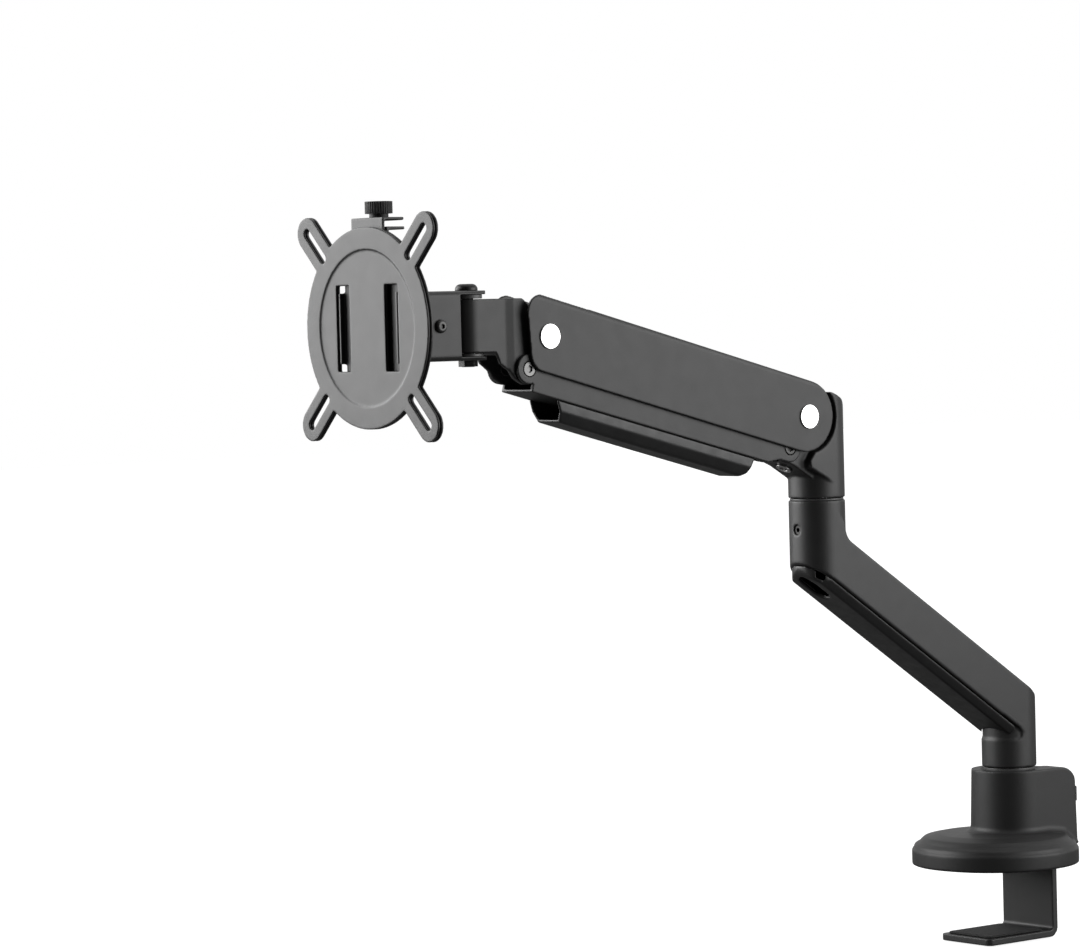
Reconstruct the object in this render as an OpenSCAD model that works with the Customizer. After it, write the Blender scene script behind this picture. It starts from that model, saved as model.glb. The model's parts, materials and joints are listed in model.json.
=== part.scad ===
// Desk-clamp monitor arm with a spring-balanced upper arm and a quick-release screen plate.
// X is across the arm, Y runs from the screen plate back to the desk clamp, Z is up.
// The origin is on the desk surface, on the axis of the base column.

/* [Base] */
// radius of the round base plate
base_r = 48.5; // [46:0.5:52]
// distance of the base plate's centre in front of the column axis
base_shift = 13; // [11:0.5:15]
// height of the plain rim of the base plate
rim_h = 9.8; // [8:0.2:12]
// height of the top of the base plate
base_h = 18.6; // [18:0.1:20]
// thickness of the soft pad under the base plate
pad_t = 1.6; // [1:0.1:2.5]
// half width of the clamp housing
house_r = 22.8; // [22:0.1:24]
// distance of the back of the clamp housing behind the column axis
house_back = 33; // [31:0.5:34]
// height of the top of the clamp housing
house_top = 55; // [54:0.5:58]
// radius of the rounded upper back edge of the housing
house_round = 12; // [6:1:14]
// radius of the steel post the arm turns on
post_r = 10.5; // [9:0.1:10.8]

/* [Clamp] */
// half width of the clamp bracket
jaw_half_w = 20.5; // [18:0.5:21]
// thickness of the clamp bracket plate
jaw_t = 4; // [3:0.5:4.4]
// distance of the bracket's upright plate behind the column axis
jaw_y = 12.7; // [12.5:0.1:13]
// distance of the jaw tip in front of the column axis
jaw_reach = 39.5; // [34:0.5:44]
// widest opening between the jaw and the base pad
jaw_open = 39.8; // [36:0.2:50]
// height the bracket reaches inside the housing when fully open
jaw_up = 14; // [13.5:0.1:15]
// radius of the clamp screw
clamp_screw_r = 4; // [3.5:0.1:4.2]
// distance of the clamp screw behind the column axis
clamp_screw_y = 22; // [21:0.5:23]

/* [Lower arm] */
// radius of both upright ends of the lower arm
column_r = 15.9; // [15.5:0.1:16.2]
// distance of the elbow axis in front of the base column
elbow_y = 148; // [140:1:160]
// height of the lower face of the lower arm
arm_low = 56.4; // [56.2:0.1:58.5]
// height of the upper face of the lower arm
arm_high = 219; // [216:0.5:219.5]
// slope of the sloping part of the lower arm
slope = 33.5; // [32:0.1:35]
// upright depth of the flat sides of the sloping part
side_depth = 29.6; // [26:0.5:32]
// height of the lower edge of the flat sides, measured at the base column axis
side_low = 75.4; // [74:0.1:78]
// wall left round the channel under the sloping part
arm_wall = 3; // [2.5:0.1:4]
// upright depth the underside cover hangs below the flat sides
belly = 6.5; // [4:0.5:7]

/* [Elbow] */
// height of the lower face of the elbow bracket
elbow_low = 220.4; // [220.2:0.1:222]
// radius of the elbow spindle
spindle_r = 9; // [8:0.1:10]
// distance of the rear pivot in front of the elbow axis
pivot_gap = 18.6; // [18:0.1:20]
// height of the rear pivot
pivot_z = 266.4; // [264:0.2:270]
// gap between the rounded end of the upper arm and the hollow it turns in
round_gap = 0.4; // [0.3:0.1:1]

/* [Upper arm] */
// distance between the two main pivots of the upper arm
arm_len = 190.7; // [180:0.1:200]
// angle of the upper arm above level in the modelled position
arm_tilt = 14.83; // [10:0.01:20]
// half width of the upper arm cover
cover_half_w = 15.5; // [15:0.1:16]
// thickness of the upper arm cover's walls
cover_wall = 1.9; // [1.5:0.1:2]
// radius of the rounded rear end of the cover
cover_r = 20; // [19:0.5:20]
// radius of the bright pivot caps
cap_r = 6.8; // [6:0.1:7.5]
// radius of the main pivot pins
pin_r = 4; // [3.5:0.1:4.5]
// how far forward of its pivot the lower link is pinned
link_fwd = 12.3; // [11:0.1:13]
// how far below its pivot the lower link is pinned
link_drop = 16.9; // [16:0.1:18]
// half width of the brackets between the arm's walls
core_half_w = 10.7; // [10.5:0.1:10.7]
// radius of the link screws' shanks
link_screw_r = 3; // [2.5:0.1:3.2]

/* [Gas spring] */
// distance of the spring's anchor below the rear pivot
anchor_drop = 15.31; // [15.2:0.01:15.4]
// distance of the spring's anchor in front of the rear pivot
anchor_fwd = 4.63; // [4.4:0.01:4.8]
// radius of the spring cylinder
spring_r = 8.5; // [7:0.1:9]
// radius of the spring rod
rod_r = 3.5; // [3:0.1:4]

/* [Head] */
// height of the centre of the screen plate above the front pivot
head_up = 6.79; // [3:0.01:10]
// distance of the upright pan axis in front of the front pivot
pan_gap = 43.0523; // [40:0.0001:46]
// distance of the tilt axis in front of the pan axis
tilt_gap = 25.5; // [24:0.5:27]
// distance of the screen plate's front face in front of the pan axis
plate_gap = 66; // [64:0.5:70]
// half width of the tilt bracket
yoke_half_w = 10; // [9.6:0.1:10.2]
// thickness of the tilt bracket's sheet
yoke_t = 2; // [1.5:0.1:2.1]
// half height of the tilt bracket
yoke_half_h = 18.3; // [17.6:0.1:19.5]
// thickness of the washer below the pan barrel
washer_low_t = 1.6; // [1.2:0.1:2]
// thickness of the washer above the pan barrel
washer_top_t = 2.2; // [1.6:0.1:2.6]
// radius of the pan barrel
barrel_r = 9.5; // [9:0.1:9.8]
// radius of the pan pin
pan_pin_r = 3.5; // [3:0.1:4]

/* [Screen plate] */
// radius of the round middle of the screen plate
plate_r = 52.3; // [50:0.1:54]
// radius of the shallow round recess in its face
recess_r = 40.8; // [38:0.1:43]
// distance of the outer ends of the mounting slots from the centre
slot_far = 70.71; // [70.71:0.01:70.72]
// distance of the inner ends of the mounting slots from the centre
slot_near = 52; // [51:0.1:53]
// radius of the mounting slots' ends
slot_r = 2.5; // [2.2:0.1:2.7]
// half width of the four ears
ear_r = 8.6; // [8:0.1:10]
// thickness of each of the plate's two sheets
sheet_t = 1.5; // [1.2:0.1:1.8]
// radius of the thumb screw's head
thumb_r = 7.2; // [6:0.1:8]

/* [Hidden] */
$fn = 96;
py = -elbow_y - pivot_gap;
fy = py - arm_len * cos(arm_tilt);
fz = pivot_z + arm_len * sin(arm_tilt);
pan_y = pan_gap - fy;
tilt_y = pan_y + tilt_gap;
plate_front = pan_y + plate_gap;
head_z = fz + head_up;
yoke_low = head_z - yoke_half_h;
yoke_high = head_z + yoke_half_h;
turn_gap = 0.3;
barrel_low = yoke_low + yoke_t + washer_low_t + turn_gap;
barrel_high = yoke_high - yoke_t - washer_top_t - turn_gap;
knuckle_low = fz - 35;
link_pin = [py - link_fwd, pivot_z - link_drop];
link_front = [fy - link_fwd, fz - link_drop];
anchor = [py - anchor_fwd, pivot_z - anchor_drop];
link_off = link_fwd * cos(arm_tilt) - link_drop * sin(arm_tilt);
link_low = link_fwd * sin(arm_tilt) + link_drop * cos(arm_tilt);
cover_in = cover_half_w - cover_wall;
end_r = column_r - 0.05;
cover_w = column_r - 1.3;
cover_low = belly * cos(slope) + 0.4;
link_in = core_half_w + 0.25;
link_out = cover_in - 0.4;
jaw_low = -jaw_open - jaw_t;
clip_top = house_top - house_round - 0.2;
release_half_w = 23.7;
release_h = 46.8;
hook_h = 36.8;
hook_t = 1.6;
screw_head_r = 3.7;
elbow_back = -elbow_y + 7.5;
trough_rear = link_off + 23.7;
rivet_len = 9.2;
tab_w = 13.8;
spring_tilt = 6.92;
spring_eye = [165, 5];
black = [0.13, 0.13, 0.135];
dark = [0.09, 0.09, 0.095];
steel = [0.72, 0.73, 0.75];
rubber = [0.06, 0.06, 0.06];

// ---- outline helpers ----
function unit(a) = a / norm(a);
function cross2(a, b) = a[0] * b[1] - a[1] * b[0];
function under(y) = side_low - y * tan(slope);

// outline from [x, y, corner radius] points given anticlockwise
module rounded(pts) {
  n = len(pts);
  p = [for (q = pts) [q[0], q[1]]];
  a = [for (i = [0:n - 1]) unit(p[i] - p[(i + n - 1) % n])];
  b = [for (i = [0:n - 1]) unit(p[(i + 1) % n] - p[i])];
  s = [for (i = [0:n - 1]) sign(cross2(a[i], b[i]))];
  h = [for (i = [0:n - 1]) pts[i][2] * tan(acos(min(1, a[i] * b[i])) / 2)];
  c = [for (i = [0:n - 1]) p[i] - a[i] * h[i] + [-a[i][1], a[i][0]] * pts[i][2] * s[i]];
  edge = [for (i = [0:n - 1]) each (pts[i][2] == 0 ? [p[i]] : [p[i] - a[i] * h[i], p[i] + b[i] * h[i]])];
  difference() {
    polygon(edge);
    for (i = [0:n - 1]) {
      if (pts[i][2] > 0 && s[i] < 0) translate(c[i]) circle(r = pts[i][2]);
    }
  }
  for (i = [0:n - 1]) {
    if (pts[i][2] > 0 && s[i] > 0) intersection() {
      translate(c[i]) circle(r = pts[i][2]);
      polygon([p[i] - a[i] * h[i], p[i], p[i] + b[i] * h[i], p[i] + (b[i] - a[i]) * h[i] * 0.6]);
    }
  }
}

// side-view outline (y, z) carried across the arm between two x values
module across(x0, x1) {
  translate([x0, 0, 0]) rotate([90, 0, 90]) linear_extrude(x1 - x0) children();
}

// same, on both sides of the middle
module both(x0, x1) {
  across(x0, x1) children();
  across(-x1, -x0) children();
}

// outline drawn along the upper arm, from the rear pivot forward and up
module along_arm() {
  translate([py, pivot_z]) rotate(-arm_tilt) mirror([1, 0]) children();
}

// solid drawn with +X forward along the upper arm and +Z up from it
module arm_solid() {
  translate([0, py, pivot_z]) rotate([-arm_tilt, 0, 0]) rotate([0, 0, -90]) children();
}

// cylinder along X between two x values at (y, z)
module pin_x(x0, x1, r, y, z) {
  translate([x0, y, z]) rotate([0, 90, 0]) cylinder(r = r, h = x1 - x0);
}

// cylinder along Y between two y values at (x, z)
module pin_y(y0, y1, r, x, z) {
  translate([x, y0, z]) rotate([-90, 0, 0]) cylinder(r = r, h = y1 - y0);
}

// upright cylinder
module pin_z(z0, z1, r, x, y) {
  translate([x, y, z0]) cylinder(r = r, h = z1 - z0);
}

// six-sided socket cut to a depth
module socket(r, depth) {
  cylinder(r = r, h = depth, $fn = 6);
}

// ---- base ----
module plate_body() {
  translate([0, -base_shift, 0]) rotate_extrude() rounded([
    [0, pad_t - 0.9, 0], [base_r, pad_t - 0.9, 0.6], [base_r, rim_h, 1], [base_r - 0.9, rim_h + 0.5, 0],
    [base_r - 1.6, 12.6, 2], [base_r - 4.6, 14.1, 0.8], [base_r - 5.4, 15.2, 0],
    [base_r - 7.4, 16.9, 3], [base_r - 16, base_h, 8], [0, base_h, 0]]);
}

module base_plate() color(black) difference() {
  plate_body();
  translate([0, -base_shift, 0]) cylinder(r = 43, h = pad_t - 0.1);
  difference() {
    pin_z(0, 12, 41, 0, -base_shift);
    translate([-24, -base_shift - 60, -1]) cube([48, 120, 14]);
    pin_z(-1, 13, 27, 0, 0);
  }
  pin_z(-1, base_h + 1, post_r, 0, 0);
  clamp_passage(-1, base_h + 1);
}

// the upright way the clamp bracket and its nut slide in
module clamp_passage(z0, z1) {
  translate([-jaw_half_w - 0.4, jaw_y - 0.4, z0]) cube([2 * jaw_half_w + 0.8, jaw_t + 0.8, z1 - z0]);
  translate([-9.9, jaw_y, z0]) cube([19.8, clamp_screw_y + 6.4 - jaw_y, z1 - z0]);
}

module desk_pad() color(rubber) difference() {
  pin_z(0, pad_t - 0.1, 43, 0, -base_shift);
  clamp_passage(-1, 4);
}

module housing_plan() {
  circle(r = house_r);
  rounded([[house_r, 0, 0], [house_r, house_back, 2.5], [-house_r, house_back, 2.5], [-house_r, 0, 0]]);
}

module base_housing() color(black) difference() {
  intersection() {
    translate([0, 0, rim_h + 1]) linear_extrude(house_top - rim_h - 1) housing_plan();
    across(-30, 30) rounded([[-30, 0, 0], [house_back, 0, 0], [house_back, house_top, house_round],
      [-30, house_top, 0]]);
  }
  plate_body();
  pin_z(0, house_top + 1, post_r, 0, 0);
  clamp_passage(0, 48);
  translate([-17, clamp_screw_y - 5.2, 0]) cube([34, 12, 48]);
  pin_z(0, house_top + 1, 7.2, 0, clamp_screw_y);
  translate([0, 0, house_top - 0.8]) difference() {
    cylinder(r = column_r + 1.2, h = 2);
    translate([0, 0, -1]) cylinder(r = post_r + 1, h = 4);
  }
}

module base_post() color(steel) difference() {
  pin_z(pad_t + 0.6, 86, post_r, 0, 0);
  pin_z(70, 87, 4, 0, 0);
}

module bridge_plate() color(steel) difference() {
  translate([-17, clamp_screw_y - 4.9, 43.6]) cube([34, 11.7, 4.4]);
  pin_z(40, 50, clamp_screw_r + 0.05, 0, clamp_screw_y);
}

// small holder beside the corner of the housing's back
module tool_clip() color(dark) difference() {
  across(house_r - 11.3, house_r - 2.5) rounded([[house_back, clip_top - 8.8, 0],
    [house_back + 2, clip_top - 8.8, 0.8], [house_back + 2, clip_top, 0.8], [house_back, clip_top, 0]]);
  pin_x(house_r - 12, house_r - 1, 0.5, house_back + 1, clip_top - 4.4);
}

module base_washer() color(steel) difference() {
  pin_z(house_top - 0.8, arm_low - 0.3, column_r - 0.9, 0, 0);
  pin_z(0, 70, post_r + 1, 0, 0);
}

// ---- clamp ----
module clamp_screw() color(steel) difference() {
  union() {
    pin_z(4, 48.3, clamp_screw_r, 0, clamp_screw_y);
    pin_z(48.3, 53.6, 6.9, 0, clamp_screw_y);
  }
  translate([0, clamp_screw_y, 49.8]) socket(3.5, 5);
}

module clamp_bracket() color(black) difference() {
  intersection() {
    across(-jaw_half_w, jaw_half_w) rounded([[-jaw_reach, jaw_low, 0], [jaw_y + jaw_t, jaw_low, 6],
      [jaw_y + jaw_t, jaw_up, 0], [jaw_y, jaw_up, 0], [jaw_y, -jaw_open, 2], [-jaw_reach, -jaw_open, 0]]);
    translate([0, 0, jaw_low - 1]) linear_extrude(jaw_up - jaw_low + 2) rounded([
      [-jaw_half_w, -jaw_reach, 4], [jaw_half_w, -jaw_reach, 4],
      [jaw_half_w, jaw_y + jaw_t, 0], [-jaw_half_w, jaw_y + jaw_t, 0]]);
  }
  for (x = [-13, 13]) pin_y(jaw_y - 1, jaw_y + jaw_t + 1, 2.2, x, 8);
}

module clamp_nut() color(steel) difference() {
  translate([-9.5, jaw_y + jaw_t, 5.5]) cube([19, clamp_screw_y + 6 - jaw_y - jaw_t, 8.5]);
  pin_z(0, 20, clamp_screw_r + 0.05, 0, clamp_screw_y);
}

module jaw_pad() color(rubber) translate([0, 0, -jaw_open]) linear_extrude(1.2)
  rounded([[-jaw_half_w + 3, -jaw_reach + 3, 3], [jaw_half_w - 3, -jaw_reach + 3, 3],
    [jaw_half_w - 3, jaw_y - 5, 3], [-jaw_half_w + 3, jaw_y - 5, 3]]);

// ---- lower arm ----
module stadium(r, y0, y1) {
  translate([0, y0]) circle(r = r);
  translate([0, y1]) circle(r = r);
  translate([-r, y0]) square([2 * r, y1 - y0]);
}

module channel_side() {
  polygon([[-elbow_y - 20, under(-elbow_y - 20) - 5], [0, under(0) - 5], [0, under(0) + side_depth - 9],
    [-elbow_y - 20, under(-elbow_y - 20) + side_depth - 9]]);
}

module lower_arm() color(black) difference() {
  union() {
    intersection() {
      pin_z(arm_low, 130, column_r, 0, 0);
      across(-20, 20) rounded([[-30, 40, 0], [column_r + 1.5, 40, 0],
        [column_r + 1.5, under(column_r + 1.5) + side_depth, 15], [-30, under(-30) + side_depth, 0]]);
    }
    difference() {
      pin_z(150, arm_high, column_r, 0, -elbow_y);
      across(-20, 20) polygon([[-elbow_y - 20, 140], [-elbow_y + 20, 140],
        [-elbow_y + 20, under(-elbow_y + 20)], [-elbow_y - 20, under(-elbow_y - 20)]]);
    }
    across(-end_r, end_r) rounded([[-elbow_y, under(-elbow_y), 0], [0, under(0), 0],
      [0, under(0) + side_depth, 0], [elbow_back, under(elbow_back) + side_depth, 10],
      [elbow_back, under(elbow_back) + side_depth + 6.2, 0],
      [-elbow_y, under(elbow_back) + side_depth + 17, 0]]);
  }
  // step round the front of the base column, under the sloping part
  difference() {
    across(-20, 20) rounded([[-20, 73, 0], [-1, 73, 3], [-6, under(-6) + 0.5, 2],
      [-20, under(-20) + 0.5, 0]]);
    pin_z(60, 120, column_r - 0.7, 0, 0);
  }
  // channel under the sloping part
  intersection() {
    across(-20, 20) channel_side();
    pin_z(60, 300, column_r - arm_wall, 0, -elbow_y);
  }
  across(arm_wall - end_r, end_r - arm_wall) intersection() {
    channel_side();
    translate([-elbow_y, 0]) square([elbow_y - column_r - 0.5, 300]);
  }
  pin_z(arm_high - 25, arm_high + 1, spindle_r + 1.6, 0, -elbow_y);
  pin_z(arm_low - 1, 87, post_r + 1.6, 0, 0);
  pin_y(-elbow_y - column_r - 1, -elbow_y, 2.6, 0, 202.7);
  at_cover_screw() pin_z(-2.1, 9, 1.55, 0, 0);
  at_cover_screw() pin_z(-12, -1.9, 2.95, 0, 0);
}

// square to the underside, on the line of the cover's screw
module at_cover_screw() {
  translate([0, -20, under(-20) + 4]) rotate([slope, 0, 0]) children();
}

module lower_bush() color(steel) difference() {
  pin_z(arm_low, 84, post_r + 1.6, 0, 0);
  pin_z(0, 90, post_r + 0.05, 0, 0);
}

module upper_bush() color(steel) difference() {
  pin_z(arm_high - 25, arm_high, spindle_r + 1.6, 0, -elbow_y);
  pin_z(0, 300, spindle_r + 0.05, 0, -elbow_y);
  pin_y(-elbow_y - column_r - 1, -elbow_y, 2.6, 0, 202.7);
}

module lower_cover() color(dark) difference() {
  intersection() {
    across(-20, 20) rounded([[-elbow_y - 15, under(-elbow_y - 15) - belly, 1.6 * belly],
      [-9, under(-9) - belly, 0], [-9, under(-9) - 0.2, 0],
      [-elbow_y - 15, under(-elbow_y - 15) - 0.2, 0]]);
    translate([0, 0, side_low]) rotate([-slope, 0, 0]) rotate([90, 0, 0]) linear_extrude(250)
      polygon([[-cover_w, 25], [-cover_w, -1], [-cover_w + 1.2, -3], [-cover_w + 3.2, -cover_low],
        [cover_w - 3.2, -cover_low], [cover_w - 1.2, -3], [cover_w, -1], [cover_w, 25]]);
  }
  difference() {
    translate([-20, -elbow_y - 30, 100]) cube([40, 30, 120]);
    pin_z(90, 230, column_r - 1, 0, -elbow_y);
  }
  pin_z(60, 120, column_r - 0.3, 0, 0);
  across(-column_r + 3.2, column_r - 3.2) polygon([
    [-elbow_y - 11, under(-elbow_y - 11) - belly + 2.4], [-30, under(-30) - belly + 2.4],
    [-30, under(-30) + 2], [-elbow_y - 11, under(-elbow_y - 11) + 2]]);
  at_cover_screw() pin_z(-2.1, 9, 1.55, 0, 0);
  at_cover_screw() pin_z(-12, -1.9, 2.95, 0, 0);
  // cable mouth near the elbow
  translate([0, -elbow_y - 3, 150]) linear_extrude(60) union() {
    translate([0, -4]) circle(r = 5.5);
    translate([0, 4]) circle(r = 5.5);
    translate([-5.5, -4]) square([11, 8]);
  }
}

module cover_screw() color(steel) at_cover_screw() difference() {
  union() {
    pin_z(-2, 8, 1.5, 0, 0);
    pin_z(-4, -2, 2.8, 0, 0);
  }
  translate([0, 0, -4.1]) socket(1.3, 1.4);
}

module friction_screw() color(steel) translate([0, -elbow_y, 202.7]) rotate([90, 0, 0]) difference() {
  translate([0, 0, spindle_r + 0.4]) cylinder(r = 2.55, h = column_r - spindle_r - 1.6);
  translate([0, 0, column_r - 4]) socket(1.4, 6);
}

// ---- elbow ----
module elbow_washer() color(steel) difference() {
  pin_z(arm_high, elbow_low - 0.3, column_r - 0.8, 0, -elbow_y);
  pin_z(0, 300, spindle_r + 0.4, 0, -elbow_y);
}

module elbow_core() {
  translate([py, pivot_z]) circle(r = 10);
  translate(link_pin) circle(r = 8.3);
  polygon([[py + 10, pivot_z], [py - 9.8, pivot_z + 2], [link_pin[0] - 7.9, link_pin[1] + 2.7],
    [link_pin[0] - 6.4, link_pin[1] - 5.3], [-elbow_y - 25.5, 239], [-elbow_y - 12.2, 231.2],
    [-elbow_y - 2, 232], [py + cover_r - 8, pivot_z - 12], [py + cover_r - 8, pivot_z]]);
}

// side view of the bracket's upright and the noses either side of the hollow
module elbow_side() {
  difference() {
    rounded([[-elbow_y - 24, elbow_low, 0], [-elbow_y + end_r, elbow_low, 0],
      [-elbow_y + end_r, 268.5, 4], [-elbow_y + 8.5, 275.6, 8], [-elbow_y - 1, 279.8, 10],
      [-elbow_y - 24, 279.8, 0]]);
    translate([py, pivot_z]) circle(r = cover_r + round_gap);
    translate([-elbow_y - 30, pivot_z]) square([30 - pivot_gap + 8, 30]);
  }
}

module elbow_nose() {
  difference() {
    polygon([[-elbow_y, 228.2], [-elbow_y, 262], [-elbow_y - 12, 248.4], [-elbow_y - 15, 246],
      [-elbow_y - 18.6, 241.4], [-elbow_y - 17.9, 237.6]]);
    translate([py, pivot_z]) circle(r = cover_r + round_gap);
  }
}

// hollow turned to face the slanted underside, from its face inwards
module at_adjuster() {
  translate([0, -elbow_y - 24.2, 238.2]) rotate([150.5, 0, 0]) mirror([0, 0, 1]) children();
}

module elbow_bracket() color(black) difference() {
  union() {
    intersection() {
      across(-20, 20) elbow_side();
      pin_z(elbow_low - 1, 290, column_r, 0, -elbow_y);
    }
    across(-column_r, column_r) elbow_nose();
    across(-core_half_w, core_half_w) elbow_core();
  }
  across(-7.3, 7.3) polygon([[py + 11, anchor[1] - 6.8], [anchor[0] - 4, anchor[1] - 6.8],
    [anchor[0] - 40, anchor[1] - 18.5], [anchor[0] - 40, 290], [py + 11, 290]]);
  pin_x(-20, 20, pin_r + 0.05, py, pivot_z);
  pin_x(-20, 20, link_screw_r, link_pin[0], link_pin[1]);
  pin_x(-9, 9, 2, anchor[0], anchor[1]);
  pin_z(elbow_low - 1, 238, spindle_r, 0, -elbow_y);
  at_adjuster() translate([0, 0, -3]) cylinder(r = 2.55, h = 8.2);
  at_adjuster() translate([0, 0, -3]) cylinder(r = 4.8, h = 4.2);
}

module elbow_spindle() color(steel) pin_z(arm_high - 24, 238, spindle_r, 0, -elbow_y);

// shouldered screw holding the lower link, on the +X side
module link_screw(p) difference() {
  union() {
    pin_x(7.4, 11.7, link_screw_r, p[0], p[1]);
    pin_x(11.7, link_out, screw_head_r, p[0], p[1]);
  }
  translate([link_out - 1, p[0], p[1]]) rotate([0, 90, 0]) socket(2.1, 3);
}

module rear_screw_right() color(steel) link_screw(link_pin);
module rear_screw_left() color(steel) mirror([1, 0, 0]) link_screw(link_pin);
module front_screw_right() color(steel) link_screw(link_front);
module front_screw_left() color(steel) mirror([1, 0, 0]) link_screw(link_front);

module spring_anchor() color(steel) pin_x(-9, 9, 2, anchor[0], anchor[1]);

module spring_adjuster() color(steel) at_adjuster() difference() {
  union() {
    translate([0, 0, -1.2]) cylinder(r = 4.5, h = 2.2);
    cylinder(r = 2.5, h = 5);
  }
  translate([0, 0, -2]) socket(2.4, 2.6);
}

// ---- upper arm ----
module cover_outline() {
  translate([1.8, 0]) circle(r = cover_r);
  rounded([[1.8, -cover_r, 0], [arm_len + 7.4, -19.2, 10],
    [arm_len + 17, 8.5, 12], [arm_len + 18.4, 20.9, 9.5], [1.8, cover_r, 0]]);
}

module cover_space() {
  translate([1.8, 0]) circle(r = cover_r - 2.2);
  polygon([[-30, -30], [230, -30], [230, 18.2], [1.8, cover_r - 2.2], [1.8, 2], [-30, 2]]);
}

module upper_cover() color(black) difference() {
  union() {
    difference() {
      intersection() {
        across(-cover_half_w - 1, cover_half_w + 1) along_arm() cover_outline();
        arm_solid() translate([-30, 0, 0]) rotate([90, 0, 90]) linear_extrude(260)
          rounded([[-cover_half_w, -30, 0], [cover_half_w, -30, 0], [cover_half_w, 21.2, 3.5],
            [-cover_half_w, 21.2, 3.5]]);
      }
      across(-cover_in, cover_in) along_arm() cover_space();
      arm_solid() translate([arm_len - 24, -cover_in, 8]) cube([60, 2 * cover_in, 20]);
    }
    for (u = [0, arm_len]) both(core_half_w + 0.3, cover_in + 0.5) along_arm()
      translate([u, 0]) circle(r = 6);
  }
  for (u = [0, arm_len]) across(-20, 20) along_arm() translate([u, 0]) circle(r = pin_r);
  across(-cover_in - 1, cover_in + 1) along_arm() translate(spring_eye) circle(r = 3);
}

module rear_pin() color(steel) pin_x(-cover_half_w, cover_half_w, pin_r, py, pivot_z);
module front_pin() color(steel) pin_x(-cover_half_w, cover_half_w, pin_r, fy, fz);

// domed pivot cap on the +X side
module pivot_cap(y, z) translate([cover_half_w, y, z]) rotate([0, 90, 0])
  rotate_extrude() rounded([[0, 0, 0], [cap_r, 0, 0], [cap_r, 0.9, 0.5], [0, 0.9, 0]]);

module rear_cap_right() color(steel) pivot_cap(py, pivot_z);
module rear_cap_left() color(steel) mirror([1, 0, 0]) pivot_cap(py, pivot_z);
module front_cap_right() color(steel) pivot_cap(fy, fz);
module front_cap_left() color(steel) mirror([1, 0, 0]) pivot_cap(fy, fz);

// solid drawn with +X towards the spring's front eye, from that eye
module spring_solid() {
  arm_solid() translate([spring_eye[0], 0, spring_eye[1]]) rotate([0, -spring_tilt, 0]) children();
}

module spring_cylinder() color(dark) spring_solid() difference() {
  union() {
    translate([-108, 0, 0]) rotate([0, 90, 0]) cylinder(r = spring_r, h = 98);
    translate([-11, 0, 0]) rotate([0, 90, 0]) cylinder(r = 4.5, h = 9);
    translate([0, 6, 0]) rotate([90, 0, 0]) cylinder(r = 6.5, h = 12);
  }
  translate([-109, 0, 0]) rotate([0, 90, 0]) cylinder(r = rod_r + 0.05, h = 12);
  translate([-100, 0, 0]) rotate([0, 90, 0]) cylinder(r = spring_r - 1.5, h = 84);
  translate([0, 10, 0]) rotate([90, 0, 0]) cylinder(r = 3, h = 20);
}

module spring_pin() color(steel) across(-cover_in - 1, cover_in + 1) along_arm()
  translate(spring_eye) circle(r = 3);

module spring_rod() color(steel) spring_solid() difference() {
  union() {
    translate([-162.4, 0, 0]) rotate([0, 90, 0]) cylinder(r = rod_r, h = 84);
    translate([-80, 0, 0]) rotate([0, 90, 0]) cylinder(r = spring_r - 1.55, h = 6);
    translate([-165.8, 5, 0]) rotate([90, 0, 0]) linear_extrude(10) rod_eye(4.7);
  }
  translate([-165.8, 10, 0]) rotate([90, 0, 0]) linear_extrude(20) rod_eye(2.6);
}

// slightly long eye, so the rod can follow its anchor's small arc
module rod_eye(r) {
  translate([0, -0.8]) circle(r = r);
  translate([0, 0.8]) circle(r = r);
  translate([-r, -0.8]) square([2 * r, 1.6]);
}

// ---- lower link and cable cover ----
module link_cheek() {
  translate([link_off, -link_low]) circle(r = 8);
  translate([link_off + arm_len, -link_low]) circle(r = 8);
  polygon([[link_off, -link_low - 8], [link_off + 6, -link_low - 8], [link_off + 14, -link_low - 11.4],
    [link_off + arm_len - 4.4, -link_low - 11.4], [link_off + arm_len - 4.4, -link_low - 6],
    [link_off + arm_len, -link_low], [link_off + arm_len, -link_low + 3],
    [link_off, -link_low + 3]]);
}

module lower_link() color(black) difference() {
  union() {
    both(link_in, link_out) along_arm() link_cheek();
    across(-link_out, link_out) along_arm() translate([trough_rear - 1.2, -link_low - 11.4])
      square([link_off + arm_len - 4.4 - trough_rear + 1.2, 1.6]);
  }
  for (p = [link_pin, link_front]) {
    pin_x(-20, 20, link_screw_r + 0.05, p[0], p[1]);
    pin_x(link_in + 0.7, 20, screw_head_r + 0.3, p[0], p[1]);
    pin_x(-20, -link_in - 0.7, screw_head_r + 0.3, p[0], p[1]);
  }
}

module trough_side(wall) {
  polygon([[trough_rear + 1.2 * wall, -link_low - 11.4], [trough_rear + 2.3 + wall, -link_low - 20.2],
    [trough_rear + 6.3, -link_low - 23.2 + wall], [arm_len - 22 + 4 * wall, -link_low - 22.4 + wall],
    [arm_len - 15.5 + 4 * wall, -link_low - 11.4]]);
}

module trough_section(g) {
  rounded([[-12.4 + g, 1, 0], [-12.4 + g, -5.4, 2], [-9 + g, -23.4 + 12 + g, 3], [9 - g, -23.4 + 12 + g, 3],
    [12.4 - g, -5.4, 2], [12.4 - g, 1, 0]]);
}

module cable_cover() color(black) difference() {
  intersection() {
    across(-14, 14) along_arm() trough_side(0);
    arm_solid() translate([0, 0, -link_low - 11.4]) rotate([90, 0, 90]) linear_extrude(220) trough_section(0);
  }
  intersection() {
    across(-14, 14) along_arm() translate([0, 0.01]) trough_side(1.6);
    arm_solid() translate([0, 0, -link_low - 11.4]) rotate([90, 0, 90]) linear_extrude(220)
      trough_section(1.6);
  }
}

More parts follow.
